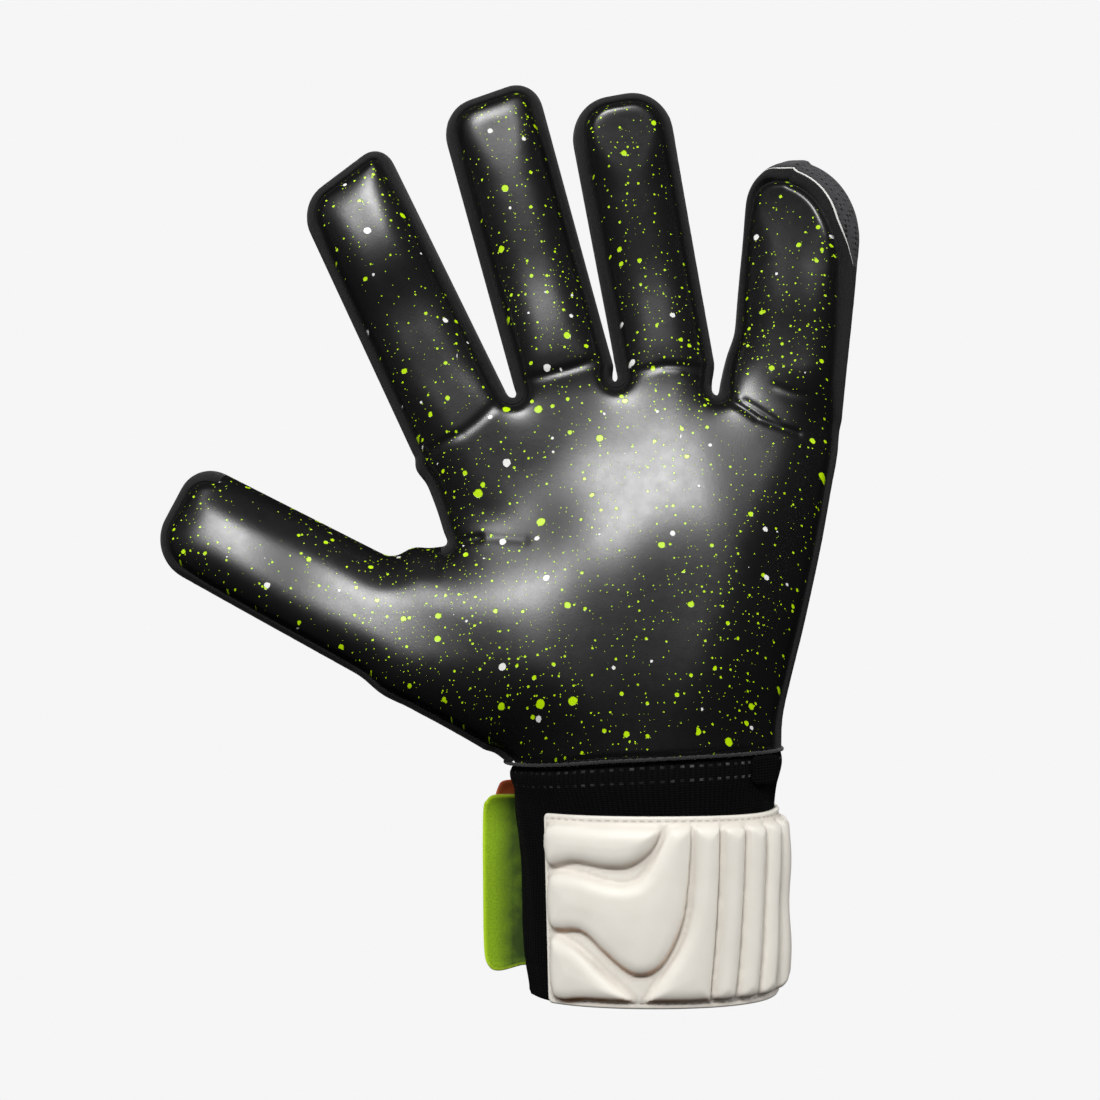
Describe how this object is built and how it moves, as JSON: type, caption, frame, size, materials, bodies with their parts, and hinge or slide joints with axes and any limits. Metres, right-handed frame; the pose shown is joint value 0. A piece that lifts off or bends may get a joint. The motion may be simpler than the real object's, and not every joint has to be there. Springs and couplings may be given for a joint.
{
  "type": "goalkeeper glove",
  "caption": "Left goalkeeper glove with a padded latex palm, flat-seamed fingers, elastic cuff and a moulded wrist strap that closes with a pull tab.",
  "frame": {"origin": "centre of the wrist opening, level with the bottom rim of the elastic cuff", "axes": "+Z from the wrist to the fingertips, the palm faces -Y, +X towards the little finger"},
  "size_m": [0.203, 0.0656, 0.2652],
  "materials": {
    "latex": "black goalkeeper latex, satin, with lime and white splatter",
    "gusset": "matte black neoprene and stretch fabric",
    "mesh": "matte black spacer mesh over foam",
    "lining": "brushed black jersey",
    "elastic": "ribbed black elastic",
    "strap": "cream white moulded foam rubber, satin",
    "tab": "lime green rubberised tab, satin",
    "fastener": "hook and loop tape",
    "label": "woven blank label"
  },
  "bodies": {
    "hand": {"palm_latex": "latex", "backhand_panel": "mesh", "palm_lining": "lining", "backhand_lining": "lining", "outer_side_gusset": "gusset", "index_side_gusset": "gusset", "thumb_side_gusset": "gusset", "elastic_cuff": "elastic", "wrist_strap_front": "strap", "cuff_loop_patch": "fastener", "cuff_bar_tack_tab": "elastic", "size_label": "label"},
    "thumb_lower": {"thumb_latex_lower": "latex", "thumb_back_lower": "mesh", "thumb_gusset_lower_inner": "gusset", "thumb_gusset_lower_outer": "gusset"},
    "thumb_upper": {"thumb_latex_upper": "latex", "thumb_back_upper": "mesh", "thumb_gusset_upper": "gusset"},
    "index_lower": {"index_latex_lower": "latex", "index_back_lower": "mesh", "index_gusset_lower_inner": "gusset", "index_gusset_lower_outer": "gusset"},
    "index_upper": {"index_latex_upper": "latex", "index_back_upper": "mesh", "index_gusset_upper": "gusset"},
    "middle_lower": {"middle_latex_lower": "latex", "middle_back_lower": "mesh", "middle_gusset_lower_inner": "gusset", "middle_gusset_lower_outer": "gusset"},
    "middle_upper": {"middle_latex_upper": "latex", "middle_back_upper": "mesh", "middle_gusset_upper": "gusset"},
    "ring_lower": {"ring_latex_lower": "latex", "ring_back_lower": "mesh", "ring_gusset_lower_inner": "gusset", "ring_gusset_lower_outer": "gusset"},
    "ring_upper": {"ring_latex_upper": "latex", "ring_back_upper": "mesh", "ring_gusset_upper": "gusset"},
    "little_lower": {"little_latex_lower": "latex", "little_back_lower": "mesh", "little_gusset_lower_inner": "gusset", "little_gusset_lower_outer": "gusset"},
    "little_upper": {"little_latex_upper": "latex", "little_back_upper": "mesh", "little_gusset_upper": "gusset"},
    "strap_free_end": {"wrist_strap_back": "strap", "strap_hook_patch": "fastener"},
    "pull_tab": {"strap_pull_tab": "tab"}
  },
  "joints": [
    {"name": "thumb_base", "type": "hinge", "parent": "hand", "child": "thumb_lower", "pos_m": [-0.0608, -0.002, 0.1006], "axis": [0.0785, 0, 0.9969], "range_deg": [-5, 40]},
    {"name": "thumb_middle", "type": "hinge", "parent": "thumb_lower", "child": "thumb_upper", "pos_m": [-0.09983, -0.002, 0.12092], "axis": [0.4617, 0, 0.887], "range_deg": [0, 50]},
    {"name": "index_base", "type": "hinge", "parent": "hand", "child": "index_lower", "pos_m": [-0.0547, -0.002, 0.1638], "axis": [0.9026, 0, 0.4305], "range_deg": [-10, 60]},
    {"name": "index_middle", "type": "hinge", "parent": "index_lower", "child": "index_upper", "pos_m": [-0.07106, -0.002, 0.1981], "axis": [0.9026, 0, 0.4305], "range_deg": [0, 65]},
    {"name": "middle_base", "type": "hinge", "parent": "hand", "child": "middle_lower", "pos_m": [-0.0263, -0.002, 0.1792], "axis": [0.9711, 0, 0.2385], "range_deg": [-10, 60]},
    {"name": "middle_middle", "type": "hinge", "parent": "middle_lower", "child": "middle_upper", "pos_m": [-0.03584, -0.002, 0.21804], "axis": [0.9711, 0, 0.2385], "range_deg": [0, 65]},
    {"name": "ring_base", "type": "hinge", "parent": "hand", "child": "ring_lower", "pos_m": [0.0044, -0.002, 0.1805], "axis": [0.9842, 0, 0.1771], "range_deg": [-10, 60]},
    {"name": "ring_middle", "type": "hinge", "parent": "ring_lower", "child": "ring_upper", "pos_m": [-0.00233, -0.002, 0.2179], "axis": [0.9842, 0, 0.1771], "range_deg": [0, 65]},
    {"name": "little_base", "type": "hinge", "parent": "hand", "child": "little_lower", "pos_m": [0.03986, -0.00199, 0.16801], "axis": [0.9945, -0.0698, -0.0783], "range_deg": [-10, 60]},
    {"name": "little_middle", "type": "hinge", "parent": "little_lower", "child": "little_upper", "pos_m": [0.04237, -0.00199, 0.19991], "axis": [0.9945, -0.0698, -0.0783], "range_deg": [0, 65]},
    {"name": "strap_peel", "type": "hinge", "parent": "hand", "child": "strap_free_end", "pos_m": [0.0406, 0.0015, 0], "axis": [0, 0, -1], "range_deg": [0, 120]},
    {"name": "tab_lift", "type": "hinge", "parent": "strap_free_end", "child": "pull_tab", "pos_m": [-0.0322, 0.0216, 0], "axis": [0, 0, -1], "range_deg": [-10, 80]}
  ]
}
